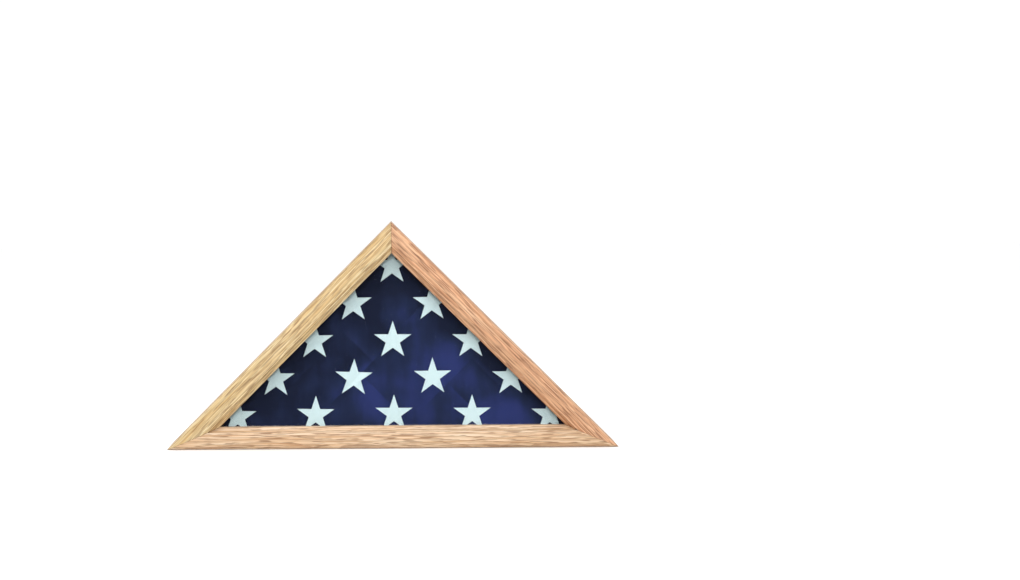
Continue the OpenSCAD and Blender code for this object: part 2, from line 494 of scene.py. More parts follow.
@dataclass(frozen=True)
class LacqueredOak:
    """Red oak, sanded and sprayed with a thin satin lacquer.

    Flat-sawn boards show long wavy bands of late wood, crossed by short open pores that the
    lacquer doesn't fill, so the grain stays visible as fine dark lines under a low soft gloss.

    Attributes:
        name: Name of the material.
        pale: Lightest colour between the rings.
        tan: Darker colour between the rings.
        late: Colour of the late wood.
        pore: Colour inside a pore.
        flush: Warmer tint that lies over parts of the board.
        turn_deg: Turn of the grain from the base.
        pith_mm: Where the tree's pith lies from the board, so each board shows its own cut.
        glue: Colour of the joint's glue line.
        ring_mm: Distance between growth rings.
        ring_share: Strength of the late wood's colour.
        sway_mm: How far the rings wander.
        streak_mm: Length and width of the streaks.
        pore_mm: Length and width of the pores.
        pore_share: Strength of the pores' colour.
        roughness: Roughness of the lacquer between the pores.
    """

    name: str
    pale: str
    tan: str
    late: str
    pore: str
    flush: str
    turn_deg: float
    pith_mm: tuple[float, float, float] = (0.0, 0.0, 0.0)
    glue: str = "6E4A2E"
    ring_mm: float = 4.2
    ring_share: float = 0.62
    sway_mm: float = 11.0
    streak_mm: Point2 = (90.0, 1.35)
    # Real pores are 0.3 mm wide, drawn at about 1.3 mm so that they show at arm's length
    pore_mm: Point2 = (26.0, 1.3)
    pore_share: float = 0.74
    roughness: float = 0.46

    def make(self) -> Material:
        """Builds the material and returns it."""
        surface = Surface(self.name, {"IOR": 1.5, "Coat Weight": 0.3, "Coat Roughness": 0.25})
        tree = surface.tree
        board = add_node(
            tree, "Mapping",
            {"Scale": (1000, 1000, 1000), "Rotation": (0, math.radians(self.turn_deg), 0),
             "Location": self.pith_mm},
            {"Vector": add_node(tree, "TexCoord").outputs["Object"]},
        ).outputs["Vector"]
        rings = self.rings(tree, board)
        streaks = self.stretched_noise(tree, board, self.streak_mm, 3.0, 0.62).outputs["Fac"]
        pores = self.pores(tree, board, rings)
        rough = add_node(
            tree, "MapRange",
            {"To Min": self.roughness, "To Max": min(1.0, self.roughness + 0.22)}, {"Value": pores},
        )
        surface.feed("Roughness", rough.outputs["Result"])
        lift = add_node(tree, "Math", {"operation": "MULTIPLY_ADD", 1: -0.8}, {0: pores, 2: streaks})
        colour = self.colour(tree, board, rings, streaks, pores)
        return surface.close(colour, lift.outputs[0], 0.45, 0.22)

    def stretched_noise(
        self, tree: Tree, board: Socket, size_mm: Point2, detail: float, roughness: float
    ) -> Node:
        """Returns noise with grains that are size_mm long and wide, along the board."""
        long, wide = size_mm
        scaled = add_node(tree, "Mapping", {"Scale": (1 / long, 1 / wide, 1 / wide)},
                          {"Vector": board})
        return add_node(
            tree, "TexNoise", {"Scale": 1.0, "Detail": detail, "Roughness": roughness},
            {"Vector": scaled.outputs["Vector"]},
        )

    def rings(self, tree: Tree, board: Socket) -> Socket:
        """Returns the growth rings round the pith, dark at each ring's late edge."""
        sway = self.stretched_noise(tree, board, (170, 34), 2.0, 0.45)
        swing = add_node(
            tree, "VectorMath", {"operation": "MULTIPLY", 1: (0.0, self.sway_mm, self.sway_mm)},
            {0: sway.outputs["Color"]},
        )
        bent = add_node(tree, "VectorMath", {"operation": "ADD"},
                        {0: board, 1: swing.outputs["Vector"]})
        return add_node(
            tree, "TexWave",
            {"wave_type": "RINGS", "rings_direction": "X", "wave_profile": "SAW",
             "Scale": wave_scale(self.ring_mm), "Distortion": 0.9, "Detail": 2.0,
             "Detail Scale": 0.35, "Detail Roughness": 0.5},
            {"Vector": bent.outputs["Vector"]},
        ).outputs["Fac"]

    def pores(self, tree: Tree, board: Socket, rings: Socket) -> Socket:
        """Returns the open pores, thickest in the early wood of each ring."""
        grains = self.stretched_noise(tree, board, self.pore_mm, 1.0, 0.5)
        early = add_node(tree, "MapRange", {"To Min": 0.13, "To Max": -0.03}, {"Value": rings})
        raised = add_node(tree, "Math", {"operation": "ADD"},
                          {0: grains.outputs["Fac"], 1: early.outputs["Result"]})
        return add_node(
            tree, "MapRange",
            {"interpolation_type": "SMOOTHSTEP", "From Min": 0.585, "From Max": 0.7},
            {"Value": raised.outputs[0]},
        ).outputs["Result"]

    def colour(
        self, tree: Tree, board: Socket, rings: Socket, streaks: Socket, pores: Socket
    ) -> Socket:
        """Returns the board's colour from its rings, streaks, pores and the mitre's glue line."""
        broad = self.stretched_noise(tree, board, (260.0, 9.0), 2.0, 0.5)
        flushed = self.stretched_noise(tree, board, (120.0, 6.5), 2.0, 0.5)
        spread = add_node(tree, "MapRange", {"From Min": 0.43, "From Max": 0.57}, {"Value": streaks})
        shade = add_node(tree, "MapRange", {"From Min": 0.3, "From Max": 0.7, "To Max": 0.4},
                         {"Value": broad.outputs["Fac"]})
        share = add_node(
            tree, "Math", {"operation": "MULTIPLY_ADD", 1: 0.7, "use_clamp": True},
            {0: spread.outputs["Result"], 2: shade.outputs["Result"]},
        )
        edge = add_node(tree, "Math", {"operation": "POWER", 1: 2.2}, {0: rings})
        glue_line = add_node(tree, "Attribute", {"attribute_name": "glue_line"})
        colour = add_node(
            tree, "Mix", {"data_type": "RGBA", 6: linear(self.tan), 7: linear(self.pale)},
            {0: share.outputs[0]},
        ).outputs[2]
        # Each layer: its colour, how it mixes, where it lies, and its strength there
        for layer, blend, where, strength in (
            (self.late, "MIX", edge.outputs[0], self.ring_share),
            (self.flush, "MULTIPLY", flushed.outputs["Fac"], None),
            (self.pore, "MIX", pores, self.pore_share),
            (self.glue, "MIX", glue_line.outputs["Fac"], 0.6),
        ):
            if strength is not None:
                where = add_node(tree, "Math", {"operation": "MULTIPLY", 1: strength},
                                 {0: where}).outputs[0]
            colour = add_node(
                tree, "Mix", {"data_type": "RGBA", "blend_type": blend, 7: linear(layer)},
                {0: where, 6: colour},
            ).outputs[2]
        return colour


@dataclass(frozen=True)
class FloatGlass:
    """Clear float glass, polished on both faces: it shows as a faint clean mirror and a slight
    green at the edge, and lets the lamps through to what stands behind it."""

    name: str = "clear_float_glass"
    tint: str = "FBFEFD"

    def make(self) -> Material:
        """Builds the material and returns it."""
        surface = Surface(self.name, {
            "Base Color": linear(self.tint), "Transmission Weight": 1.0, "IOR": 1.5,
            "Roughness": 0.01,
        })
        tree = surface.tree
        clear = add_node(tree, "BsdfTransparent", {"Color": linear(self.tint)})
        path = add_node(tree, "LightPath")
        mixed = add_node(tree, "MixShader", None, {
            0: path.outputs["Is Shadow Ray"], 1: surface.shader.outputs["BSDF"],
            2: clear.outputs["BSDF"],
        })
        tree.links.new(mixed.outputs["Shader"], tree.nodes["Material Output"].inputs["Surface"])
        return surface.material


@dataclass(frozen=True)
class WovenBunting:
    """Dyed cotton bunting in a plain weave: a dull deep blue with soft patches of painted highlight
    and painted shade, painted shade along the folded edges, painted light and shade beside the
    creases, and painted shade between the threads."""

    name: str = "navy_cotton_bunting"
    deep: str = "0F1835"
    navy: str = "1F2A50"
    royal: str = "2E3874"
    nap: str = "5A63B8"
    # Real threads are about 0.45 mm apart, drawn at 0.9 mm so that the weave shows close up
    thread_mm: float = 0.9

    def make(self) -> Material:
        """Builds the material and returns it."""
        surface = Surface(self.name, {
            "Roughness": 0.8, "Specular IOR Level": 0.18, "Sheen Weight": 0.06,
            "Sheen Roughness": 0.45, "Sheen Tint": linear(self.nap),
        })
        tree = surface.tree
        spot = add_node(tree, "TexCoord").outputs["Object"]
        cloud = add_node(
            tree, "TexNoise", {"Scale": 9.0, "Detail": 3.0, "Roughness": 0.55}, {"Vector": spot})
        drawn = add_node(tree, "Mapping", {"Scale": (52.0, 52.0, 11.0)}, {"Vector": spot})
        streak = add_node(
            tree, "TexNoise", {"Scale": 1.0, "Detail": 3.0, "Roughness": 0.6},
            {"Vector": drawn.outputs["Vector"]},
        )
        both = add_node(tree, "Mix", {"data_type": "FLOAT", 0: 0.2},
                        {2: cloud.outputs["Fac"], 3: streak.outputs["Fac"]})
        # Painted light and shade, read from the cloth's points: soft patches of painted highlight
        # and painted shade, painted shade along the folded edges, and painted light and shade beside
        # the creases. It moves the colour along the ramp together with the two noise textures.
        painted_light_and_shade = add_node(tree, "Attribute", {"attribute_name": "painted_light_and_shade"})
        pressed = add_node(tree, "Math", {"operation": "MULTIPLY_ADD", 1: 0.3},
                           {0: painted_light_and_shade.outputs["Fac"], 2: both.outputs[0]})
        ramp = add_node(tree, "ValToRGB", None, {"Fac": pressed.outputs[0]})
        stops = ramp.color_ramp.elements
        stops[0].position, stops[0].color = 0.36, linear(self.deep)
        stops[1].position, stops[1].color = 0.66, linear(self.royal)
        stops.new(0.5).color = linear(self.navy)
        cloth = add_node(tree, "Math", {"operation": "MULTIPLY"},
                         {0: self.threads(tree, spot, "X"), 1: self.threads(tree, spot, "Z")})
        # Painted shade between the threads: the colour is darker where the weave's relief is low.
        darker = add_node(tree, "MapRange", {"To Min": 0.78, "To Max": 1.12},
                          {"Value": cloth.outputs[0]})
        woven = add_node(tree, "VectorMath", {"operation": "SCALE"},
                         {0: ramp.outputs["Color"], "Scale": darker.outputs["Result"]})
        return surface.close(woven.outputs["Vector"], cloth.outputs[0], 0.35, 0.12)

    def threads(self, tree: Tree, spot: Socket, across: str) -> Socket:
        """Returns the rounded rise and fall of one set of threads."""
        return add_node(
            tree, "TexWave",
            {"wave_type": "BANDS", "bands_direction": across, "wave_profile": "SIN",
             "Scale": wave_scale(self.thread_mm * MM), "Distortion": 0.6, "Detail": 1.0,
             "Detail Scale": 0.2},
            {"Vector": spot},
        ).outputs["Fac"]


@dataclass(frozen=True)
class StarThread:
    """White rayon embroidery thread in close satin stitch: bright, with a fine ribbing across
    each arm and a soft shine along the thread."""

    name: str = "white_embroidery_thread"
    light: str = "ECFBFE"
    # Painted shade for the hollows between the stitches
    hollow: str = "D0E4EA"
    # Real stitches are about 0.4 mm apart, drawn at 1 mm so that they show close up
    stitch_mm: float = 1.0
    slant_deg: float = 28.0

    def make(self) -> Material:
        """Builds the material and returns it."""
        surface = Surface(self.name, {
            "Roughness": 0.55, "Sheen Weight": 0.12, "Sheen Roughness": 0.4,
        })
        tree = surface.tree
        spot = add_node(tree, "TexCoord").outputs["Object"]
        turned = add_node(tree, "Mapping", {"Rotation": (0, math.radians(self.slant_deg), 0)},
                          {"Vector": spot})
        wave = add_node(
            tree, "TexWave",
            {"wave_type": "BANDS", "bands_direction": "Z", "wave_profile": "SIN",
             "Scale": wave_scale(self.stitch_mm * MM), "Distortion": 1.2, "Detail": 2.0,
             "Detail Scale": 0.4},
            {"Vector": turned.outputs["Vector"]},
        )
        uneven = add_node(tree, "TexNoise", {"Scale": 140.0, "Detail": 3.0}, {"Vector": spot})
        share = add_node(tree, "Math", {"operation": "MULTIPLY"},
                         {0: wave.outputs["Fac"], 1: uneven.outputs["Fac"]})
        # Painted shade in the hollows between the stitches: the darker colour lies where the ribbing
        # is low, broken up by random unevenness
        spread = add_node(tree, "MapRange", {"From Max": 0.5}, {"Value": share.outputs[0]})
        colour = add_node(
            tree, "Mix", {"data_type": "RGBA", 6: linear(self.hollow), 7: linear(self.light)},
            {0: spread.outputs["Result"]},
        )
        return surface.close(colour.outputs[2], wave.outputs["Fac"], 0.4, 0.15)


@dataclass(frozen=True)
class PlatedMetal:
    """Stamped sheet or turned wire with a thin bright plating: even colour, a soft mirror that
    is broken by fine drawing lines and slightly duller patches from handling."""

    name: str
    bright: str
    dull: str
    roughness: float = 0.3
    # Real drawing lines are finer than 0.1 mm, drawn at 0.25 mm so that they show close up
    line_mm: float = 0.25

    def make(self) -> Material:
        """Builds the material and returns it."""
        surface = Surface(self.name, {"Metallic": 1.0})
        tree = surface.tree
        spot = add_node(tree, "TexCoord").outputs["Object"]
        fine = 1 / (self.line_mm * MM)
        drawn = add_node(tree, "Mapping", {"Scale": (0.08 * fine, fine, fine)}, {"Vector": spot})
        lines = add_node(tree, "TexNoise", {"Scale": 1.0, "Detail": 2.0},
                         {"Vector": drawn.outputs["Vector"]})
        patches = add_node(tree, "TexNoise", {"Scale": 220.0, "Detail": 3.0}, {"Vector": spot})
        colour = add_node(
            tree, "Mix", {"data_type": "RGBA", 6: linear(self.bright), 7: linear(self.dull)},
            {0: patches.outputs["Fac"]},
        )
        rough = add_node(
            tree, "MapRange",
            {"From Min": 0.3, "From Max": 0.7, "To Min": self.roughness - 0.08,
             "To Max": self.roughness + 0.14},
            {"Value": patches.outputs["Fac"]},
        )
        surface.feed("Roughness", rough.outputs["Result"])
        return surface.close(colour.outputs[2], lines.outputs["Fac"], 0.15, 0.02)


@dataclass(frozen=True)
class PressedBoard:
    """Hardboard, pressed from wood fibre on a wire screen: dark brown, flecked with fibres,
    with the screen's fine grid left in its rough face."""

    name: str = "screen_backed_hardboard"
    dark: str = "5A4330"
    light: str = "86694B"
    fleck: str = "A88A66"
    # Real screen wires are about 1.3 mm apart, drawn at 2.2 mm so that they show
    screen_mm: float = 2.2

    def make(self) -> Material:
        """Builds the material and returns it."""
        surface = Surface(self.name, {"Roughness": 0.82, "Specular IOR Level": 0.3})
        tree = surface.tree
        spot = add_node(tree, "TexCoord").outputs["Object"]
        cloud = add_node(
            tree, "TexNoise", {"Scale": 26.0, "Detail": 6.0, "Roughness": 0.65}, {"Vector": spot})
        base = add_node(
            tree, "Mix", {"data_type": "RGBA", 6: linear(self.dark), 7: linear(self.light)},
            {0: cloud.outputs["Fac"]},
        )
        fibres = add_node(
            tree, "TexNoise", {"Scale": 900.0, "Detail": 1.0, "Distortion": 2.5}, {"Vector": spot})
        cut = add_node(tree, "MapRange", {"From Min": 0.6, "From Max": 0.7, "To Max": 0.7},
                       {"Value": fibres.outputs["Fac"]})
        flecked = add_node(tree, "Mix", {"data_type": "RGBA", 7: linear(self.fleck)},
                           {0: cut.outputs["Result"], 6: base.outputs[2]})
        grid = [add_node(
            tree, "TexWave",
            {"wave_type": "BANDS", "bands_direction": across, "wave_profile": "SIN",
             "Scale": wave_scale(self.screen_mm * MM), "Distortion": 0.15},
            {"Vector": spot},
        ).outputs["Fac"] for across in ("X", "Z")]
        screen = add_node(tree, "Math", {"operation": "MINIMUM"}, {0: grid[0], 1: grid[1]})
        shaded = add_node(tree, "MapRange", {"To Min": 0.82, "To Max": 1.08},
                          {"Value": screen.outputs[0]})
        pressed = add_node(tree, "VectorMath", {"operation": "SCALE"},
                           {0: flecked.outputs[2], "Scale": shaded.outputs["Result"]})
        return surface.close(pressed.outputs["Vector"], screen.outputs[0], 0.5, 0.15)


@dataclass(frozen=True)
class SoftMatte:
    """Felt or moulded rubber: a dark surface with no clear shine, broken by a fine nap or by the
    mould's texture."""

    name: str
    dark: str
    light: str
    grain_mm: float
    roughness: float
    sheen: float = 0.0

    def make(self) -> Material:
        """Builds the material and returns it."""
        surface = Surface(self.name, {"Roughness": self.roughness, "Sheen Weight": self.sheen})
        tree = surface.tree
        nap = add_node(
            tree, "TexNoise",
            {"Scale": 1 / (self.grain_mm * MM), "Detail": 4.0, "Roughness": 0.7},
            {"Vector": add_node(tree, "TexCoord").outputs["Object"]},
        ).outputs["Fac"]
        colour = add_node(
            tree, "Mix", {"data_type": "RGBA", 6: linear(self.dark), 7: linear(self.light)},
            {0: nap},
        )
        return surface.close(colour.outputs[2], nap, 0.5, 0.1)


@dataclass
class Finishes:
    """Every material of the case, each made once."""

    rail: dict[Side, Material] = field(default_factory=dict)
    wall: dict[Side, Material] = field(default_factory=dict)

    def __post_init__(self) -> None:
        """Builds the materials."""
        self.rail[Side.LEFT] = LacqueredOak(
            "oak_left_rail", "E8E0BC", "C8B07A", "937545", "7C5A36", "F8D8B6", Side.LEFT.value,
            (40.0, 70.0, 273.0), ring_mm=4.6).make()
        self.rail[Side.BOTTOM] = LacqueredOak(
            "oak_bottom_rail", "E8DCC4", "CBAB82", "8F6840", "7C5632", "FFDEC4", Side.BOTTOM.value,
            (120.0, 76.0, 24.0), ring_mm=4.4, sway_mm=15.0).make()
        self.rail[Side.RIGHT] = LacqueredOak(
            "oak_right_rail", "E3C29E", "BF9167", "8A5C39", "764B32", "FFDAC6", Side.RIGHT.value,
            (-210.0, 64.0, 268.0), ring_mm=4.4).make()
        for side, shift, depth in ((Side.LEFT, 31.0, 278.0), (Side.BOTTOM, 47.0, 45.0),
                                   (Side.RIGHT, 59.0, 282.0)):
            self.wall[side] = LacqueredOak(
                f"oak_{side.name.lower()}_wall", "E2C49C", "C59C70", "9A7048", "7A5636", "FADCC2",
                side.value, (shift * 5, 12.0 - shift / 2, depth), ring_mm=5.2, sway_mm=24.0).make()
        self.glass = FloatGlass().make()
        self.bunting = WovenBunting().make()
        self.thread = StarThread().make()
        self.zinc = PlatedMetal("bright_zinc_plate", "C9CCCF", "A9ADB2", 0.3).make()
        self.brass = PlatedMetal("lacquered_brass_plate", "D9B871", "B8924E", 0.26).make()
        self.board = PressedBoard().make()
        self.felt = SoftMatte("black_wool_felt", "0D0D0F", "24242A", 0.7, 0.95, 0.3).make()
        self.rubber = SoftMatte("moulded_black_rubber", "171717", "262626", 0.5, 0.7).make()


# ---------------------------------------------------------------------------------------------
# Oak bars
# ---------------------------------------------------------------------------------------------


@dataclass
class MitredBar:
    """A length of oak of one profile, cut along the mitres at both ends.

    Attributes:
        name: Name of the piece.
        side: The side of the case that it forms.
        profile: Its closed outline, inwards and across the depth.
        chamfer: Width of the fine groove that the eased mitre edges leave.
        glue_w: Width of the darker line along the mitre.
        clean_w: Distance from the mitre to the first plain ring of the bar.
    """

    name: str
    side: SideFrame
    profile: Sequence[Point2]
    chamfer: float = 0.25 * MM
    glue_w: float = 0.9 * MM
    clean_w: float = 4 * MM

    def build(self) -> Piece:
        """Lofts the bar from mitre to mitre and marks its glue lines."""
        count = len(self.profile)
        shrunk = self.shrunk()
        insets = [0.0, self.chamfer, self.glue_w, self.clean_w]
        rings: list[list[Vector]] = []
        glue: list[float] = []
        for k, inset in enumerate(insets):
            outline = shrunk if k == 0 else self.profile
            rings.append([self.side.at(self.side.ends(u)[0] + inset, u, y) for u, y in outline])
            glue.append(1.0 if k < 2 else 0.0)
        for k, inset in enumerate(reversed(insets)):
            outline = shrunk if k == len(insets) - 1 else self.profile
            rings.append([self.side.at(self.side.ends(u)[1] - inset, u, y) for u, y in outline])
            glue.append(1.0 if k >= len(insets) - 2 else 0.0)
        last = len(rings) - 1
        faces = [*tube_faces(count, last + 1), ring_cap(count, 0), ring_cap(count, last)]
        mesh = raw_mesh(self.name, (p for ring in rings for p in ring), faces)
        mark = mesh.attributes.new("glue_line", "FLOAT", "POINT")
        mark.data.foreach_set("value", [g for g in glue for _ in range(count)])
        with opened(mesh) as made:
            bmesh.ops.recalc_face_normals(made, faces=made.faces)
        return link_piece(self.name, mesh, 24.0)

    def shrunk(self) -> list[Point2]:
        """Returns the profile drawn in by the chamfer, for the very end of the bar."""
        out = []
        count = len(self.profile)
        area = sum(a[0] * b[1] - b[0] * a[1]
                   for a, b in zip(self.profile, [*self.profile[1:], self.profile[0]]))
        turn = 1.0 if area > 0 else -1.0
        for i, point in enumerate(self.profile):
            tangent = Vector(self.profile[(i + 1) % count]) - Vector(self.profile[i - 1])
            inner = Vector((-tangent.y, tangent.x)).normalized() * turn * self.chamfer
            out.append((point[0] + inner.x, point[1] + inner.y))
        return out


@dataclass
class OakCase:
    """The moulded face and the box behind it.

    Attributes:
        case: The case's planes and widths.
        finishes: The materials.
        edge_r: Radius of the moulding's outer edge.
        crown_r: Radius of its low crown.
        cove_w: Width of the hollow slope beside the glass.
        lip_t: Thickness of the moulding at the foot of that slope.
        cove_r: Radius of the hollow.
        eased: Rounding of edges that were broken with sandpaper.
    """

    case: CaseFrame
    finishes: Finishes
    edge_r: float = 9 * MM
    crown_r: float = 70 * MM
    cove_w: float = 7 * MM
    lip_t: float = 8.5 * MM
    cove_r: float = 12 * MM
    eased: float = 0.5 * MM

    def moulding_profile(self) -> list[Point2]:
        """Returns the moulding's outline as points inwards and across the depth."""
        width, thick = self.case.rail_w, self.case.joint - self.case.front
        quirk = width - self.cove_w
        fall = math.asin((quirk - self.edge_r) / self.crown_r)
        rounded = arc((self.edge_r, thick - self.edge_r), self.edge_r, 180, 90, 16)
        crown = arc((self.edge_r, thick - self.crown_r), self.crown_r, 90,
                    90 - math.degrees(fall), 20)[1:]
        chord = self.cove_w * math.sqrt(2)
        lift = math.sqrt(self.cove_r ** 2 - chord ** 2 / 4) / math.sqrt(2)
        centre = (width - self.cove_w / 2 + lift, self.lip_t + self.cove_w / 2 + lift)
        foot = math.degrees(math.atan2(self.lip_t - centre[1], width - centre[0]))
        top = math.degrees(math.atan2(self.lip_t + self.cove_w - centre[1], quirk - centre[0]))
        cove = arc(centre, self.cove_r, top - 360 if top > 0 else top, foot, 12)
        loop = [(0.0, 0.0), *rounded, *crown, *cove, (width, 0.0)]
        radii = [0.3 * MM, *[0.0] * len(rounded), *[0.0] * (len(crown) - 1), self.eased,
                 *[0.0] * (len(cove) - 1), self.eased, 0.3 * MM]
        return [(u, self.case.joint - v) for u, v in round_corners(loop, radii)]

    def wall_profile(self) -> list[Point2]:
        """Returns the wall's outline, with the rebate for the back panel."""
        c = self.case
        rim = c.wall_t - c.rebate_w
        loop = [(0.0, c.joint), (0.0, c.back), (rim, c.back), (rim, c.ledge),
                (c.wall_t, c.ledge), (c.wall_t, c.joint)]
        radii = [0.25 * MM, 1.4 * MM, self.eased, 0.0, self.eased, 0.25 * MM]
        return round_corners(loop, radii)

    def build(self) -> None:
        """Makes the six bars and dresses the plain wooden nodes."""
        for side in Side:
            name = side.name.lower()
            rail = MitredBar(f"moulding_{name}", self.case.side(side), self.moulding_profile())
            settle(rail.build(), "case", self.finishes.rail[side],
                   [f"face_rail_{name}"])
            wall = MitredBar(f"box_wall_{name}", self.case.side(side), self.wall_profile())
            settle(wall.build(), "case", self.finishes.wall[side],
                   [f"wall_{name}"])
            keep_node(f"glass_stop_{name}", self.finishes.wall[side])
        keep_node("mitre_splines", self.finishes.wall[Side.BOTTOM])
        keep_node("face_v_nails", self.finishes.zinc)
        keep_node("stop_brads", self.finishes.zinc)
        keep_node("glass_pane", self.finishes.glass)


# ---------------------------------------------------------------------------------------------
# The folded flag
# ---------------------------------------------------------------------------------------------


@dataclass(frozen=True)
class Crease:
    """A pressed fold line on the cloth, at 45 degrees, in millimetres from the base's middle.

    Attributes:
        x: Start, across.
        z: Start, up.
        reach: Length of the line.
        rising: True if it climbs to the right.
        depth: How far it is pressed in, negative for a raised line.
        width: Half its width.
        past: How far past its ends it fades out.
        facet_shading_w: How far from the line its painted light and shade reach.
    """

    x: float
    z: float
    reach: float
    rising: bool
    depth: float
    width: float = 3.0
    past: float = 14.0
    facet_shading_w: float = 13.0

    def follow(self, x: float, z: float, run: float) -> Point2:
        """Returns a point's distance above the line and how strong the line is there.

        Args:
            x: The point, across.
            z: The point, up.
            run: How far in from its ends the line is at its full strength.

        Returns:
            The distance in millimetres, and a share from 0 to 1.
        """
        s = math.sqrt(0.5)
        up = s if self.rising else -s
        along = (x - self.x) * s + (z - self.z) * up
        across = -(x - self.x) * up + (z - self.z) * s
        start = smoothstep(-self.past, run, along)
        return across, start * (1 - smoothstep(self.reach - run, self.reach + self.past, along))

    def sink(self, x: float, z: float) -> float:
        """Returns how deep the line is at a point, in millimetres."""
        across, fade = self.follow(x, z, 10)
        return self.depth * fade * math.exp(-abs(across) / self.width)

    def tone(self, x: float, z: float) -> float:
        """Returns the painted light and shade beside the line: painted lighter above it, painted
        darker below it.
        """
        across, fade = self.follow(x, z, 24)
        # Painted light on the facet above the line, painted shade on the facet below it
        side = smoothstep(-1.6, 1.6, across) * 2 - 1
        return self.depth * fade * side * math.exp(-abs(across) / self.facet_shading_w)


@dataclass(frozen=True)
class PaintedPatch:
    """A soft patch of painted light (painted shade where its amount is negative), in millimetres
    from the base's middle.

    Attributes:
        x: Its middle, across.
        z: Its middle, up.
        reach_x: How far it reaches across.
        reach_z: How far it reaches up.
        amount: Strength of the painted light, negative for painted shade.
    """

    x: float
    z: float
    reach_x: float
    reach_z: float
    amount: float

    def at(self, x: float, z: float) -> float:
        """Returns the patch's strength at a point in millimetres."""
        away = ((x - self.x) / self.reach_x) ** 2 + ((z - self.z) / self.reach_z) ** 2
        return self.amount * math.exp(-away)


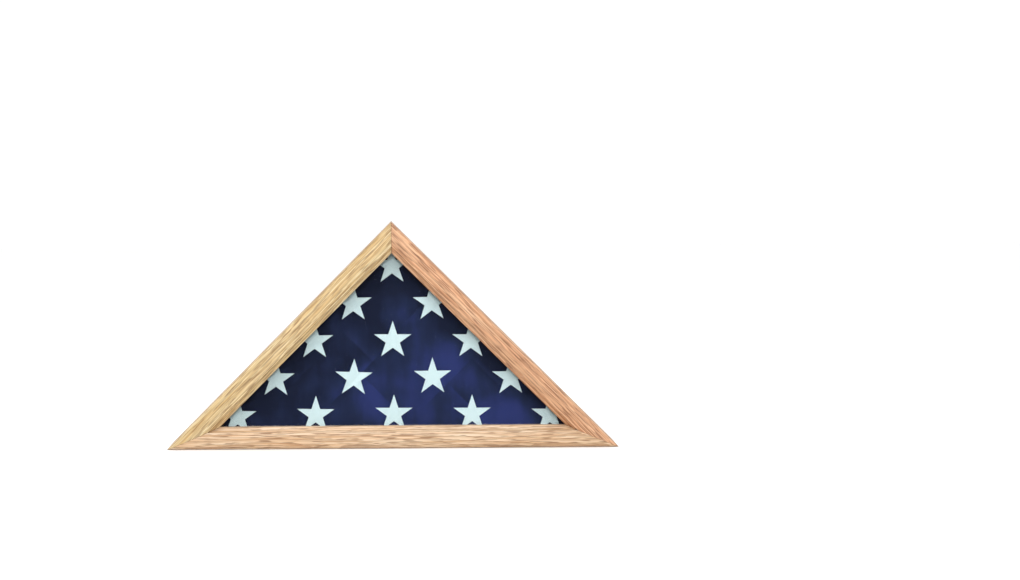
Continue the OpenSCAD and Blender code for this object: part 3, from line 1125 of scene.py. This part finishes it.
@dataclass
class FoldedFlag:
    """A large cotton flag folded to a triangle, star field outwards.

    Attributes:
        case: The case's planes and widths.
        finishes: The materials.
        cloth_w: Width of the open flag.
        cloth_l: Length of the open flag.
        grid: Cells along one leg of the outer layers.
        inner_grid: Cells along one leg of the hidden layers.
        star_r: Radius of a star's points.
        star_pitch: Distance between stars in a row.
        row_pitch: Distance between rows.
        first_row: Height of the lowest row.
        rows: Number of rows, and of stars in the lowest one.
        stitch_t: Height of the embroidery over the cloth.
        front_gap: Space between the glass and the middle of the front layer.
        back_gap: Space between the felt and the rear layer.
        hidden_gap: Space that the coarser hidden layers keep from both faces.
        apex_sink: How much deeper the front layer lies at the top corner.
        crop: Height of the corner that the case cuts off the flag's triangle.
        creases: The pressed fold lines.
        painted_patches: The patches of painted light and painted shade.
    """

    case: CaseFrame
    finishes: Finishes
    cloth_w: float = 1524 * MM
    cloth_l: float = 2896 * MM
    grid: int = 196
    inner_grid: int = 18
    star_r: float = 28.7 * MM
    star_pitch: float = 114.6 * MM
    row_pitch: float = 54.1 * MM
    first_row: float = 48.5 * MM
    rows: int = 5
    stitch_t: float = 0.7 * MM
    front_gap: float = 3.0 * MM
    back_gap: float = 3.2 * MM
    hidden_gap: float = 3.0 * MM
    apex_sink: float = 7.0 * MM
    crop: float = 3.3 * MM
    creases: Sequence[Crease] = (
        Crease(-92, 62, 104, True, 1.1, 2.6),
        Crease(-42, 102, 52, False, -0.9, 2.4),
        Crease(82, 92, 60, False, -0.8, 2.4),
        Crease(18, 182, 40, True, -0.7, 2.2),
        Crease(-70, 168, 62, False, 0.6, 3.0),
        Crease(46, 58, 96, True, 0.7, 3.0),
        Crease(118, 128, 74, False, 0.6, 3.0),
        Crease(-168, 70, 80, True, 0.5, 3.2),
    )
    # Soft patches of painted light, and of painted shade where the amount is negative
    painted_patches: Sequence[PaintedPatch] = (
        PaintedPatch(-22, 70, 30, 52, 0.55),
        PaintedPatch(38, 84, 26, 40, 0.3),
        PaintedPatch(150, 76, 34, 46, 0.4),
        PaintedPatch(188, 46, 30, 20, 0.35),
        PaintedPatch(26, 180, 22, 40, 0.3),
        PaintedPatch(86, 130, 26, 34, 0.3),
        PaintedPatch(-80, 60, 24, 26, 0.15),
        PaintedPatch(-100, 134, 46, 40, -0.55),
        PaintedPatch(-160, 74, 60, 30, -0.25),
        PaintedPatch(-34, 196, 34, 40, -0.45),
        PaintedPatch(0, 250, 50, 34, -0.5),
        PaintedPatch(70, 196, 30, 30, -0.2),
    )

    def __post_init__(self) -> None:
        """Reads the flag's space from the frame."""
        low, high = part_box("folded_flag")
        self.low, self.high = low, high
        self.stop_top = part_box("glass_stop_bottom")[1]
        self.half = self.high.z - self.low.z + self.crop
        self.apex = self.low.z + self.half
        self.leg = self.half * math.sqrt(2)

    def front_depth(self, x: float, z: float) -> float:
        """Returns the depth of the front layer: pressed near the glass, falling off to its folds."""
        edge = (self.apex - z - abs(x)) / math.sqrt(2)
        foot = z - self.low.z
        roll = 3.0 * MM * (1 - smoothstep(0, 18 * MM, edge))
        roll += 1.2 * MM * (1 - smoothstep(0, 20 * MM, foot))
        roll += self.apex_sink * (1 - smoothstep(30 * MM, 84 * MM, self.apex - z))
        spot = Vector((x * 9, 0.3, z * 9))
        wave = 1.5 * MM * noise.noise(spot) + 0.5 * MM * noise.noise(spot * 2.7)
        drag = 0.35 * MM * noise.noise(Vector((x * 60, 1.7, z * 9)))
        pressed = sum(c.sink(x / MM, z / MM) for c in self.creases) * MM
        return self.case.glass + self.front_gap + roll + wave + drag + pressed

    def back_depth(self, x: float, z: float) -> float:
        """Returns the depth of the rear layer, with the tucked end's edge across it."""
        edge = (self.apex - z - abs(x)) / math.sqrt(2)
        roll = 5.0 * MM * (1 - smoothstep(0, 24 * MM, edge))
        spot = Vector((x * 8, 5.3, z * 8))
        wave = 1.2 * MM * noise.noise(spot) + 0.4 * MM * noise.noise(spot * 3)
        tuck = 1.6 * MM * smoothstep(-3.2 * MM, 3.2 * MM, x + 30 * MM - 0.45 * (z - self.low.z))
        return self.high.y - self.back_gap - roll + wave + tuck

    def corner_grid(self, cells: int) -> tuple[list[Point2], list[list[int]]]:
        """Lays a grid over the triangle, square to its legs.

        Args:
            cells: Cells along one leg.

        Returns:
            The points, across and up, and the faces.
        """
        numbers: dict[tuple[int, int], int] = {}
        points: list[Point2] = []
        step = self.leg / cells * math.sqrt(0.5)
        for i in range(cells + 1):
            for j in range(cells + 1 - i):
                numbers[i, j] = len(points)
                points.append(((j - i) * step, self.apex - (i + j) * step))
        faces = []
        for i in range(cells):
            for j in range(cells - i):
                corner = [numbers[i, j], numbers[i + 1, j]]
                if i + j + 2 <= cells:
                    corner.append(numbers[i + 1, j + 1])
                faces.append([*corner, numbers[i, j + 1]])
        return points, faces

    def painted_light_at(self, x: float, z: float) -> float:
        """Returns the painted light and shade at a point: painted shade along the folded edges,
        painted light and shade beside the creases, and the painted patches.
        """
        edge = (self.apex - z - abs(x)) / math.sqrt(2) / MM
        # Painted shade along the folded edges
        fold_edge_shade = -0.5 * (1 - smoothstep(14, 62, edge))
        # Painted light and shade on the facets beside the creases
        pressed = 0.3 * sum(c.tone(x / MM, z / MM) for c in self.creases)
        return fold_edge_shade + pressed + sum(b.at(x / MM, z / MM) for b in self.painted_patches)

    def foot_at(self, y: float) -> float:
        """Returns the lowest height that a layer may have, above the wall or the glass stop."""
        over_stop = self.stop_top.z + 0.5 * MM
        return over_stop if y < self.stop_top.y + 0.5 * MM else self.low.z

    def cloth(self) -> Piece:
        """Builds the whole cloth as its folded layers, from the glass to the lining."""
        layer_area = self.leg ** 2 / 2
        layers = round(self.cloth_w * self.cloth_l / layer_area)
        fine_points, fine_faces = self.corner_grid(self.grid)
        rough_points, rough_faces = self.corner_grid(self.inner_grid)
        points: list[Vector] = []
        faces: list[list[int]] = []
        reach = self.high.x
        for k in range(layers):
            share = k / (layers - 1)
            outer = k in (0, layers - 1)
            flat, cells = (fine_points, fine_faces) if outer else (rough_points, rough_faces)
            start = len(points)
            for x, z in flat:
                front, back = self.front_depth(x, z), self.back_depth(x, z)
                if not outer:
                    # The hidden layers are coarser, so they keep clear of the faces
                    front, back = front + self.hidden_gap, back - self.hidden_gap
                y = front + (back - front) * share
                if not outer:
                    y += 0.25 * MM * noise.noise(Vector((x * 30, k * 3.1, z * 30)))
                x = max(-reach, min(reach, x))
                points.append(Vector((x, y, max(z, self.foot_at(y)))))
            faces += [[start + n for n in face] for face in cells]
        mesh = raw_mesh("flag_cloth", points, faces)
        # Painted light and shade for the bunting's colour, on every point of the cloth
        nap = mesh.attributes.new("painted_light_and_shade", "FLOAT", "POINT")
        nap.data.foreach_set("value", [self.painted_light_at(p.x, p.z) for p in points])
        self.join_folds(mesh, layers)
        return link_piece("flag_cloth", mesh, 60.0)

    def join_folds(self, mesh: Mesh, layers: int) -> None:
        """Joins each hidden layer to the next with a round fold, along alternate legs."""
        fine = (self.grid + 1) * (self.grid + 2) // 2
        rough = (self.inner_grid + 1) * (self.inner_grid + 2) // 2
        cells = self.inner_grid
        starts = [0, *[fine + rough * k for k in range(layers - 2)]]
        first_column = list(range(cells + 1))
        row_starts = [0]
        for i in range(cells):
            row_starts.append(row_starts[-1] + cells + 1 - i)
        with opened(mesh) as made:
            for k in range(1, layers - 2):
                made.verts.ensure_lookup_table()
                right = k % 2 == 0
                numbers = first_column if right else row_starts
                near = [made.verts[starts[k] + n] for n in numbers]
                far = [made.verts[starts[k + 1] + n] for n in numbers]
                push = Vector((1 if right else -1, 0, 1)).normalized() * 0.55 * MM
                middle = [made.verts.new((a.co + b.co) / 2 + push) for a, b in zip(near, far)]
                for m in range(cells):
                    made.faces.new((near[m], near[m + 1], middle[m + 1], middle[m]))
                    made.faces.new((middle[m], middle[m + 1], far[m + 1], far[m]))

    def star(
        self, centre: Point2, turn: float, depth: Callable[[float, float], float], out: float
    ) -> tuple[list[Vector], list[list[int]]]:
        """Builds one embroidered star on a layer of cloth.

        Args:
            centre: Its middle, across and up.
            turn: How far it leans, in radians.
            depth: Depth of the cloth at a point.
            out: -1 towards the glass, 1 towards the back.

        Returns:
            Its points and faces.
        """
        inner_r = self.star_r * math.sin(math.radians(18)) / math.sin(math.radians(54))
        corners = []
        for k in range(10):
            angle = math.pi / 2 + turn + k * math.pi / 5
            r = self.star_r if k % 2 == 0 else inner_r
            corners.append(Vector((r * math.cos(angle), r * math.sin(angle))))
        per_edge = 9
        rim = []
        for k in range(10):
            a, b = corners[k], corners[(k + 1) % 10]
            rim += [a.lerp(b, m / per_edge) for m in range(per_edge)]
        # Share of the way out, and share of the full stitch height: a raised border, then fill
        steps = ((1.0, -0.25), (0.995, 0.55), (0.975, 0.9), (0.94, 1.0), (0.9, 0.96),
                 (0.86, 0.74), (0.82, 0.68), (0.66, 0.74), (0.48, 0.8), (0.3, 0.84), (0.14, 0.85))
        points: list[Vector] = []
        for scale, height in steps:
            for p in rim:
                x, z = centre[0] + p.x * scale, centre[1] + p.y * scale
                points.append(Vector((x, depth(x, z) + out * self.stitch_t * height, z)))
        count = len(rim)
        return points, [*tube_faces(count, len(steps)), ring_cap(count, len(steps) - 1)]

    def star_field(
        self, name: str, depth: Callable[[float, float], float], out: float, seed: float
    ) -> Piece:
        """Builds the rows of stars that show on one face, cut off where the cloth folds over."""
        points: list[Vector] = []
        faces: list[list[int]] = []
        for row in range(self.rows):
            count = self.rows - row
            for k in range(count):
                across = (k - (count - 1) / 2) * self.star_pitch
                lean = noise.noise(Vector((across * 40, seed, row * 3.3)))
                drop = 3 * MM * (across / (2 * self.star_pitch)) ** 2
                up = self.first_row + row * self.row_pitch - drop + 1.5 * MM * lean
                # The lower rows lie a little to one side, as the last folds pulled them
                slip = 2.2 * MM * (1 - row / (self.rows - 1))
                middle = (across + slip + 1.2 * MM * lean, up)
                made, cells = self.star(middle, 0.05 * lean, depth, out)
                faces += [[len(points) + n for n in cell] for cell in cells]
                points += made
        mesh = raw_mesh(name, points, faces)
        folds = Vector((0, 0, self.apex - 1.0 * MM))
        cuts = (
            (folds, Vector((1, 0, 1))),
            (folds, Vector((-1, 0, 1))),
            (Vector((0, 0, self.stop_top.z + 1.5 * MM)), Vector((0, 0, -1))),
        )
        with opened(mesh) as made:
            bmesh.ops.recalc_face_normals(made, faces=made.faces)
            for at, normal in cuts:
                bmesh.ops.bisect_plane(
                    made, geom=[*made.verts, *made.edges, *made.faces], dist=0.001 * MM,
                    plane_co=at, plane_no=normal, clear_outer=True)
        return link_piece(name, mesh, 50.0)

    def build(self) -> None:
        cloth = settle(self.cloth(), "case", self.finishes.bunting,
                       ["folded_flag"])
        front = settle(self.star_field("flag_stars_front", self.front_depth, -1, 0.7),
                       "case", self.finishes.thread)
        back = settle(self.star_field("flag_stars_back", self.back_depth, 1, 4.1),
                      "case", self.finishes.thread)


# ---------------------------------------------------------------------------------------------
# Back panel and hardware
# ---------------------------------------------------------------------------------------------


@dataclass
class BackPanel:
    """The removable board and its felt, both with their thin tips cut off."""

    finishes: Finishes

    def outline(self, node: str) -> list[Point2]:
        """Returns the board's outline, across and up, from its node in the frame."""
        low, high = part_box(node)
        shoulder = low.z + (high.z - low.z) - high.x
        loop = [(low.x, low.z), (high.x, low.z), (high.x, max(low.z + 1 * MM, shoulder)),
                (0.0, high.z), (low.x, max(low.z + 1 * MM, shoulder))]
        return round_corners(loop, [0.4 * MM, 0.4 * MM, 0.8 * MM, 0.8 * MM, 0.8 * MM])

    def build(self) -> None:
        """Makes the board and the felt."""
        for name, node, finish, slot, edge in (
            ("hardboard_back", "back_panel", self.finishes.board, "back_board", 0.45 * MM),
            ("felt_lining", "back_lining", self.finishes.felt, "black_felt", 0.3 * MM),
        ):
            low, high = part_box(node)
            piece = slab(name, self.outline(node), lambda a, b, h: Vector((a, h, b)),
                         low.y, high.y, edge)
            settle(piece, "back", finish, [node])


@dataclass(frozen=True)
class Spot:
    """A place on a wall's back edge: its middle, the way a part points, and across that."""

    centre: Vector
    ahead: Vector
    across: Vector

    def at(self, forward: float, sideways: float, height: float) -> Vector:
        """Returns a point from the middle: forward, sideways, and out from the edge."""
        return (self.centre + self.ahead * forward + self.across * sideways
                + Vector((0, height, 0)))


@dataclass(frozen=True)
class ScrewHead:
    """A pan head with a cross recess, over a short visible stretch of its shank."""

    radius: float
    height: float
    rings: int = 16
    around: int = 72

    def build(self, name: str, spot: Spot, seat: float, foot: float) -> Piece:
        """Turns the head and presses the recess into it.

        Args:
            name: Name of the piece.
            spot: Where the screw stands.
            seat: Height of the head's underside.
            foot: Height at which the shank ends, inside the wood.

        Returns:
            The screw.
        """
        arm, reach, sink = self.radius * 0.15, self.radius * 0.58, self.height * 0.62
        points: list[Vector] = []
        for k in range(self.rings + 1):
            t = k / self.rings
            r = self.radius * t
            top = seat + self.height * (1 - 0.55 * t ** 2.6) * (1 if t < 1 else 0.75)
            for i in range(self.around):
                a = math.tau * i / self.around
                x, z = r * math.cos(a), r * math.sin(a)
                in_cross = min(abs(x), abs(z)) < arm and max(abs(x), abs(z)) < reach
                fall = sink * (1 - 0.6 * r / reach) if in_cross else 0.0
                points.append(spot.at(x, z, top - fall))
        shank = ((seat, 1.0), (seat, 0.5), (foot, 0.5))
        for height, share in shank:
            for i in range(self.around):
                a = math.tau * i / self.around
                r = self.radius * share
                points.append(spot.at(r * math.cos(a), r * math.sin(a), height))
        last = self.rings + len(shank)
        faces = [*tube_faces(self.around, last + 1), ring_cap(self.around, last)]
        return mesh_piece(name, points, faces, 38.0)


@dataclass
class Hardware:
    """Turn buttons, hanging rings, their screws, and the rubber bumpers.

    Attributes:
        case: The case's planes and widths.
        finishes: The materials.
        button_w: Width of a turn button.
        button_reach: Length of its arm from its screw.
        button_low: Height of its underside over the wood.
        button_t: Thickness of its sheet.
        boss_r: Radius of the raised seat under it.
        strap_t: Thickness of a hanger's strap.
        strap_w: Width of the strap.
        strap_len: Length of the strap from the ring.
        wire_r: Radius of the ring's wire.
        wire_z: Height of the wire's underside over the wood.
        wire_bend: Radius of the two bends beside the strap.
        ring_leg: Length of the ring's straight sides.
        hanger_screw: Distance of the strap's screw from the ring.
        screw_foot: Height at which the shanks end, inside the wood.
    """

    case: CaseFrame
    finishes: Finishes
    button_w: float = 9 * MM
    button_reach: float = 22 * MM
    button_low: float = 0.4 * MM
    button_t: float = 1.2 * MM
    boss_r: float = 3.6 * MM
    strap_t: float = 0.8 * MM
    strap_w: float = 7 * MM
    strap_len: float = 18 * MM
    wire_r: float = 1.0 * MM
    wire_z: float = 0.95 * MM
    wire_bend: float = 1.6 * MM
    ring_leg: float = 8 * MM
    hanger_screw: float = 8 * MM
    screw_foot: float = -10 * MM

    def joint_spot(self, joint: dict) -> Spot:
        """Returns the place of a hinge on the back edge, with the way its part points at rest."""
        pos = Vector(joint["pos_m"])
        slanted = pos.z > self.case.wall_t
        ahead = Vector((1 if pos.x > 0 else -1, 0, -1 if slanted else 0)).normalized()
        across = Vector((0, 1, 0)).cross(ahead)
        return Spot(Vector((pos.x, self.case.back, pos.z)), ahead, across)

    def button(self, joint: dict) -> Piece:
        """Makes one stamped turn button with a raised rib and a thumb lip."""
        spot = self.joint_spot(joint)
        r = self.button_w / 2
        tip = self.button_reach - r
        outline = [*arc((0, 0), r, 90, 270, 20), *arc((tip, 0), r * 0.86, -90, 90, 16)]
        name = joint["child"].replace("button_", "turn_button_") + "_plate"
        low, high = self.button_low, self.button_low + self.button_t
        plate = slab(name + "_a", outline, spot.at, low, high, 0.3 * MM)
        rib = self.rib(name + "_b", spot, high)
        boss_outline = arc((0, 0), self.boss_r, 0, 345, 23)
        boss = slab(name + "_c", boss_outline, spot.at, 0.05 * MM, low + 0.1 * MM, 0.1 * MM)
        return join_pieces(name, [plate, rib, boss])

    def rib(self, name: str, spot: Spot, base: float) -> Piece:
        """Makes the low bead that stiffens a button along its arm."""
        start, end, half = 6.2 * MM, self.button_reach - 4.2 * MM, 1.3 * MM
        rise, along, around = 0.55 * MM, 20, 10
        points, faces = [], []
        for k in range(along + 1):
            t = k / along
            swell = math.sin(math.pi * t) ** 0.45 if 0 < t < 1 else 0.0
            for i in range(around + 1):
                a = math.pi * i / around
                points.append(spot.at(start + (end - start) * t, half * swell * math.cos(a),
                                      base - 0.05 * MM + rise * swell * math.sin(a)))
        for k in range(along):
            for i in range(around):
                n = k * (around + 1) + i
                faces.append([n, n + 1, n + around + 2, n + around + 1])
        return mesh_piece(name, points, faces)

    def strap(self, name: str, spot: Spot) -> Piece:
        """Makes the strap that is screwed down and curls round the ring's straight side."""
        t = self.strap_t
        curl_r = self.wire_r + 0.1 * MM + t / 2
        mid = curl_r + t / 2 + 0.05 * MM
        line = [(self.strap_len, t / 2), (self.strap_len * 0.5, t / 2), (2.0 * MM, t / 2)]
        line += [(-x, y) for x, y in arc((0, mid), curl_r, -90, 168, 28)]
        left, right = [], []
        for k, p in enumerate(line):
            a, b = line[max(0, k - 1)], line[min(len(line) - 1, k + 1)]
            way = Vector((b[0] - a[0], b[1] - a[1])).normalized()
            normal = Vector((-way.y, way.x)) * t / 2
            left.append((p[0] + normal.x, p[1] + normal.y))
            right.append((p[0] - normal.x, p[1] - normal.y))
        loop, half = [*left, *reversed(right)], self.strap_w / 2
        return slab(name, loop, lambda a, b, h: spot.at(a, h, b), -half, half, 0.2 * MM)

    def ring(self, name: str, spot: Spot, half: float) -> Piece:
        """Bends round wire into the D of a hanging ring."""
        bend, centre = self.wire_bend, self.wire_r + self.wire_z
        path: list[Point2] = []
        path += arc((bend, -half + bend), bend, 180, 270, 6)
        path += [(self.ring_leg * 0.6, -half)]
        path += arc((self.ring_leg, 0), half, -90, 90, 28)
        path += [(self.ring_leg * 0.6, half)]
        path += arc((bend, half - bend), bend, 90, 180, 6)
        path += [(0.0, half * 0.4), (0.0, -half * 0.4)]
        count, around, points = len(path), 20, []
        for k, (x, z) in enumerate(path):
            a, b = path[k - 1], path[(k + 1) % count]
            way = Vector((b[0] - a[0], b[1] - a[1])).normalized()
            side = Vector((way.y, -way.x))
            for i in range(around):
                angle = math.tau * i / around
                out = self.wire_r * math.cos(angle)
                points.append(spot.at(x + side.x * out, z + side.y * out,
                                      centre + self.wire_r * math.sin(angle)))
        return mesh_piece(name, points, tube_faces(around, count, endless=True), 80.0)

    def bumper(self, name: str, centre: Vector, radius: float, height: float) -> Piece:
        """Moulds one rubber bumper with a rolled edge and a shallow dish on its face."""
        spot = Spot(centre, Vector((1, 0, 0)), Vector((0, 0, 1)))
        profile = [(0.0, 0.86), (0.3, 0.87), (0.55, 0.93), (0.68, 0.99), (0.78, 1.0),
                   (0.85, 0.96), (0.9, 0.86), (0.95, 0.5), (1.0, 0.06), (1.0, 0.0)]
        around, points = 48, []
        for r, h in profile:
            for i in range(around):
                a = math.tau * i / around
                points.append(spot.at(radius * r * math.cos(a), radius * r * math.sin(a),
                                      height * h))
        faces = [*tube_faces(around, len(profile)), ring_cap(around, len(profile) - 1)]
        return mesh_piece(name, points, faces, 50.0)

    def build(self) -> None:
        """Makes every button, ring, strap, screw and bumper."""
        screws = []
        head = ScrewHead(3.6 * MM, 1.9 * MM)
        for joint in frame["joints"]:
            child = joint["child"]
            if child.startswith("button_"):
                settle(self.button(joint), child, self.finishes.brass,
                       [child.replace("button_", "turn_button_")])
                seat = self.button_low + self.button_t + 0.05 * MM
                screws.append(head.build(child + "_screw", self.joint_spot(joint), seat,
                                         self.screw_foot))
        settle(join_pieces("button_screws", screws), "case", self.finishes.zinc,
               ["turn_button_screws"])
        self.hangers()
        self.bumpers()

    def hangers(self) -> None:
        """Makes both hangers and their screws."""
        screws = []
        head = ScrewHead(2.8 * MM, 1.5 * MM)
        for joint in frame["joints"]:
            child = joint["child"]
            if not child.startswith("ring_"):
                continue
            hand = child.removeprefix("ring_")
            spot = self.joint_spot(joint)
            settle(self.strap(f"strap_{hand}", spot), "case",
                   self.finishes.zinc, [f"hanger_strap_{hand}"])
            half = self.strap_w / 2 + self.wire_r + 0.15 * MM
            settle(self.ring(f"ring_{hand}_wire", spot, half), child,
                   self.finishes.zinc, [f"hanger_ring_{hand}"])
            place = Spot(spot.at(self.hanger_screw, 0, 0), spot.ahead, spot.across)
            screws.append(head.build(child + "_screw", place, self.strap_t, self.screw_foot))
        settle(join_pieces("strap_screws", screws), "case", self.finishes.zinc,
               ["hanger_screws"])

    def bumpers(self) -> None:
        """Makes the two bumpers at the foot of the back."""
        low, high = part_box("wall_bumpers")
        radius = (high.z - low.z) / 2
        made = []
        for sign in (-1, 1):
            centre = Vector((sign * (high.x - radius), self.case.back, (low.z + high.z) / 2))
            made.append(self.bumper(f"bumper_{sign}", centre, radius, high.y - low.y))
        settle(join_pieces("rubber_bumpers", made), "case",
               self.finishes.rubber, ["wall_bumpers"])


# ---------------------------------------------------------------------------------------------
# Studio
# ---------------------------------------------------------------------------------------------


@dataclass
class Studio:
    """A pale floor, soft light from all round and above, and the camera.

    Attributes:
        case: The case's planes and widths.
        lens: Focal length, in millimetres.
        eye_z: Height of the camera over the floor.
        base_share: Width of the case's base as a share of the picture's width.
        centre_share: Where the middle of the case stands, as a share of the picture's width.
        foot_share: Where the case's foot stands, as a share of the picture's height from the top.
        roll_deg: How far the camera leans clockwise.
    """

    case: CaseFrame
    lens: float = 60.0
    eye_z: float = 0.375
    base_share: float = 0.4477
    centre_share: float = 0.384
    foot_share: float = 0.7765
    roll_deg: float = 0.42

    def camera(self) -> None:
        """Sets a camera in front of the case and a little above it, framing it off centre."""
        data = bpy.data.cameras.new("camera")
        data.sensor_width = 36.0
        data.lens = self.lens
        data.shift_x = 0.5 - self.centre_share
        width = self.case.base / self.base_share
        away = width * self.lens / data.sensor_width
        centre_z = (self.foot_share - 0.5) * width * IMAGE_H / IMAGE_W
        tilt = math.atan2(self.eye_z - centre_z, away)
        camera = bpy.data.objects.new("camera", data)
        camera.matrix_world = (
            Matrix.Translation((0, self.case.front - away, self.eye_z))
            @ Matrix.Rotation(math.radians(90) - tilt, 4, "X")
            @ Matrix.Rotation(-math.radians(self.roll_deg), 4, "Z")
        )
        bpy.context.scene.collection.objects.link(camera)
        bpy.context.scene.camera = camera

    def floor(self) -> None:
        """Lays a large pale floor, bright enough to run into the white behind it."""
        reach = 9.0
        corners = [Vector((x, y, -0.2 * MM)) for x, y in
                   ((-reach, -reach), (reach, -reach), (reach, reach), (-reach, reach))]
        floor = mesh_piece("floor", corners, [[0, 1, 2, 3]])
        dress(floor, Surface("pale_floor_paint", {
            "Base Color": linear("F4F4F3"), "Roughness": 0.9, "Specular IOR Level": 0.1,
            "Emission Color": linear("FFFFFF"), "Emission Strength": 0.12,
        }).material)
        # The pane would mirror the floor in front of the case as a pale band
        floor.visible_glossy = False
        floor.visible_transmission = False

    def lamp(self, name: str, at: Vector, aim: Vector, size: float, watts: float) -> None:
        """Hangs one square soft box and points it."""
        data = bpy.data.lights.new(name, "AREA")
        data.size = size
        data.energy = watts
        lamp = bpy.data.objects.new(name, data)
        lamp.location = at
        lamp.rotation_euler = (aim - at).to_track_quat("-Z", "Y").to_euler()
        bpy.context.scene.collection.objects.link(lamp)

    def world(self) -> None:
        """Surrounds the case with white, brighter above, and dim where the pane would mirror."""
        world = bpy.data.worlds.new("studio")
        bpy.context.scene.world = world
        world.use_nodes = True
        tree = world.node_tree
        back = tree.nodes["Background"]
        place = add_node(tree, "TexCoord")
        parts = add_node(tree, "SeparateXYZ", None, {"Vector": place.outputs["Generated"]})
        path = add_node(tree, "LightPath")
        above = add_node(
            tree, "MapRange", {"From Min": -0.3, "From Max": 1.0, "To Min": 0.5, "To Max": 1.15},
            {"Value": parts.outputs["Z"]},
        )
        front = add_node(
            tree, "MapRange",
            {"interpolation_type": "SMOOTHSTEP", "From Min": -0.975, "From Max": -0.9,
             "To Min": 0.05, "To Max": 1.0},
            {"Value": parts.outputs["Y"]},
        )
        mirrored = add_node(tree, "Mix", {"data_type": "FLOAT", 2: 1.0},
                            {0: path.outputs["Is Glossy Ray"], 3: front.outputs["Result"]})
        lit = add_node(tree, "Math", {"operation": "MULTIPLY"},
                       {0: above.outputs["Result"], 1: mirrored.outputs[0]})
        seen = add_node(tree, "Mix", {"data_type": "FLOAT", 3: 1.05},
                        {0: path.outputs["Is Camera Ray"], 2: lit.outputs[0]})
        tree.links.new(seen.outputs[0], back.inputs["Strength"])
        back.inputs["Color"].default_value = (1, 1, 1, 1)

    def build(self) -> None:
        """Makes the studio."""
        self.camera()
        self.floor()
        self.world()
        middle = Vector((0, 0, self.case.base / 4))
        self.lamp("key_soft_box", Vector((-0.25, -1.3, 2.45)), middle, 0.9, 24.0)
        self.lamp("fill_soft_box", Vector((-0.05, -2.5, 0.9)), middle, 1.0, 13.5)
        bpy.context.scene.view_settings.view_transform = "Standard"
        bpy.context.scene.view_settings.look = "None"


def main() -> None:
    """Builds the studio, then the case from its frame outwards."""
    logging.basicConfig(level=logging.INFO, format="%(name)s: %(message)s")
    case = CaseFrame.read()
    Studio(case).build()
    finishes = Finishes()
    OakCase(case, finishes).build()
    FoldedFlag(case, finishes).build()
    BackPanel(finishes).build()
    Hardware(case, finishes).build()


if __name__ == "__main__":
    main()
